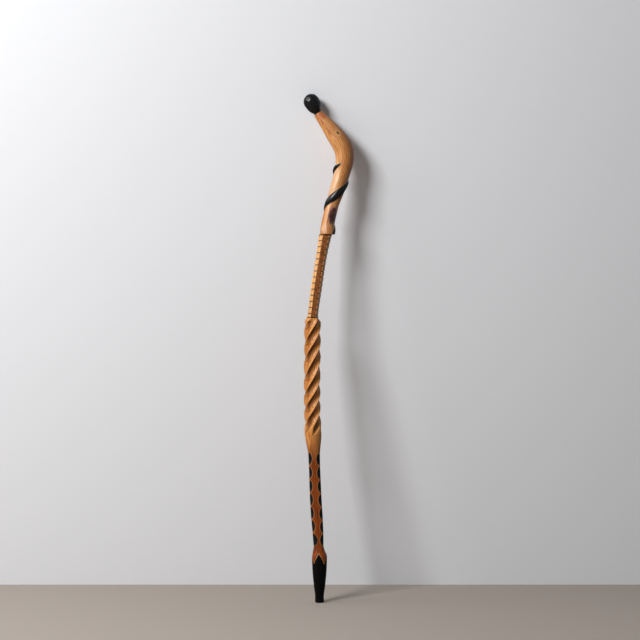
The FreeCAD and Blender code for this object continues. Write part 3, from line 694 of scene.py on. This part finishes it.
# Painted highlight: a pale band along the groove's upper edge above the snake.
colour = lay_over(peeled, colour, "#efc795", values["lip_highlight"], 1.6, 0.8, 0.6)
colour = lay_over(peeled, colour, "#a9572c", edges["red_end"], 0.6, 0.2, 0.75)
colour = lay_over(peeled, colour, "#8a6170", edges["scar"], 0.7, 0.45, 0.6)
scar_tint = put(peeled, "ShaderNodeValToRGB", {"Fac": mottle}, stops=[(0.42, "#571f0c"), (0.6, "#260b04")])
colour = lay_over(peeled, colour, scar_tint, edges["scar"], 0.55, 0.25, 0.95)
colour = lay_over(peeled, colour, "#1f0a04", values["scar_knot"], 1.1, 0.6, 0.8)
colour = lay_over(peeled, colour, "#ecc08a", values["knot"], 2.0, 1.3, 0.4)
colour = lay_over(peeled, colour, "#a3662a", values["faint_knot"], 1.3, 0.5, 0.7)
colour = lay_over(peeled, colour, "#1f0b04", values["knot"], 1.1, 0.7, 0.95)
raised = put(peeled, "ShaderNodeBump", {"Height": fibres, "Strength": 0.3, "Distance": 0.12 * MM})
surface = put(
    peeled,
    "ShaderNodeBsdfPrincipled",
    {
        "Base Color": colour,
        "Roughness": 0.4,
        "Normal": raised,
        "IOR": 1.5,
        "Specular IOR Level": 0.4,
        "Coat Weight": 0.3,
        "Coat Roughness": 0.16,
    },
)
put(peeled, "ShaderNodeOutputMaterial", {"Surface": surface})

flats = knife_flats(wood, width=9, length=34, seed=7)
points -= outward(handle) * (flats * HANDLE_CUT)[:, None]
move_points(handle, points)
handle.data.materials.append(peeled)
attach(handle, "root")
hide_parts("handle")


# Knob: an egg carved from hardwood with a knife, which leaves small flats, and lacquered black. It stands on
# the handle's end on a short neck and is held by a dowel.

KNOB_MESH = 0.42
KNOB_LEAN = math.radians(-32)
KNOB_CUT = 0.35
KNOB_FULLER = 1.1
KNOB_SHIFT = 1.0
NECK_END = (4, 10)
CROWN = (14, 24)
EGG_START = (6, 18)

knob = even_copy("knob", KNOB_MESH, 2)
points = points_of(knob)
keep(knob, "wood", points)

# The egg is a little fuller between its neck and its crown, and stands a little to the right.
along = points @ [math.sin(KNOB_LEAN), 0, math.cos(KNOB_LEAN)]
along -= along.min()
fuller = KNOB_FULLER * ease(along, *NECK_END) * (1 - ease(along, *CROWN))
flats = knife_flats(points, width=7, length=8, seed=12)
points += outward(knob) * (fuller - flats * KNOB_CUT)[:, None]
points[:, 0] += KNOB_SHIFT * ease(along, *EGG_START)
move_points(knob, points)
knob.data.materials.append(lacquer)
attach(knob, "root")
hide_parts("knob")


# Stage: a pale floor, and a pale wall that leans towards the stick's top as a wall does behind a leaning
# stick. A soft window is at the front left, and a larger and dimmer one further round. None of it is part of
# the object. The wall shows only from its front, so it hides nothing in the other views.

WALL_FOOT = 0.17
WALL_LEAN = 0.17
STAGE_SIZE = 3.0
AIM_HEIGHT = 0.5
LAMP_RISE = 0.58
ROOM_LIGHT = 0.08
ROOM_SEEN = 0.5
CAMERA_PLACE = (0.0009, -2.56, 0.508)
CAMERA_LENS = 80

for name, paint, corners in (
    ("pale_floor", "#a39a92", ((-1, -1), (1, -1), (1, 1), (-1, 1))),
    ("pale_wall", "#eceef2", ((-1, 0), (1, 0), (1, 1), (-1, 1))),
):
    wall = name == "pale_wall"
    bm = bmesh.new()
    for across, far in corners:
        far *= STAGE_SIZE
        back, up = (WALL_FOOT - WALL_LEAN * far, far) if wall else (far, 0)
        bm.verts.new((across * STAGE_SIZE, back, up))
    bm.faces.new(bm.verts)
    mesh = bpy.data.meshes.new(name)
    bm.to_mesh(mesh)
    bm.free()
    stage = bpy.data.objects.new(name, mesh)
    stage.visible_shadow = not wall
    stage.visible_glossy = not wall
    bpy.context.scene.collection.objects.link(stage)
    painted = new_material(name + "_paint")
    surface = put(painted, "ShaderNodeBsdfDiffuse", {"Color": paint})
    if wall:
        behind = put(painted, "ShaderNodeNewGeometry").outputs["Backfacing"]
        clear = put(painted, "ShaderNodeBsdfTransparent")
        surface = put(painted, "ShaderNodeMixShader", {"Fac": behind, "Shader": surface, "Shader_001": clear})
    put(painted, "ShaderNodeOutputMaterial", {"Surface": surface})
    stage.data.materials.append(painted)

# Each lamp's turn to the left in degrees, its distance and size in metres, and its power in watts.
for name, side, far, size, energy in (
    ("window", 42, 2.6, 1.0, 84),
    ("side_window", 78, 3.4, 2.0, 44),
):
    lamp = bpy.data.lights.new(name, "AREA")
    lamp.shape = "SQUARE"
    lamp.size = size
    lamp.energy = energy
    stand = bpy.data.objects.new(name, lamp)
    side = math.radians(side)
    stand.location = (-far * math.sin(side), -far * math.cos(side), AIM_HEIGHT + far * LAMP_RISE)
    aim = Vector((0, 0, AIM_HEIGHT)) - stand.location
    stand.rotation_euler = aim.to_track_quat("-Z", "Y").to_euler()
    bpy.context.scene.collection.objects.link(stand)

# The room is seen and reflected pale, and lights the stick only a little.
room = bpy.data.worlds.new("soft_room")
room.use_nodes = True
room.node_tree.nodes.clear()
ray = put(room, "ShaderNodeLightPath")
seen = put(
    room,
    "ShaderNodeMath",
    {"Value": ray.outputs["Is Camera Ray"], "Value_001": ray.outputs["Is Glossy Ray"]},
    operation="MAXIMUM",
)
seen = put(
    room,
    "ShaderNodeMath",
    {"Value": seen, "Value_001": ray.outputs["Is Transmission Ray"]},
    operation="MAXIMUM",
)
strength = put(room, "ShaderNodeMapRange", {"Value": seen, "To Min": ROOM_LIGHT, "To Max": ROOM_SEEN})
pale = put(room, "ShaderNodeBackground", {"Color": "#dfe4ea", "Strength": strength})
put(room, "ShaderNodeOutputWorld", {"Surface": pale})
bpy.context.scene.world = room
bpy.context.scene.view_settings.view_transform = "Standard"

camera = bpy.data.cameras.new("front_camera")
camera.sensor_width = 36
camera.lens = CAMERA_LENS
camera_stand = bpy.data.objects.new("front_camera", camera)
camera_stand.location = CAMERA_PLACE
camera_stand.rotation_euler = (math.radians(90), 0, 0)
bpy.context.scene.collection.objects.link(camera_stand)
bpy.context.scene.camera = camera_stand
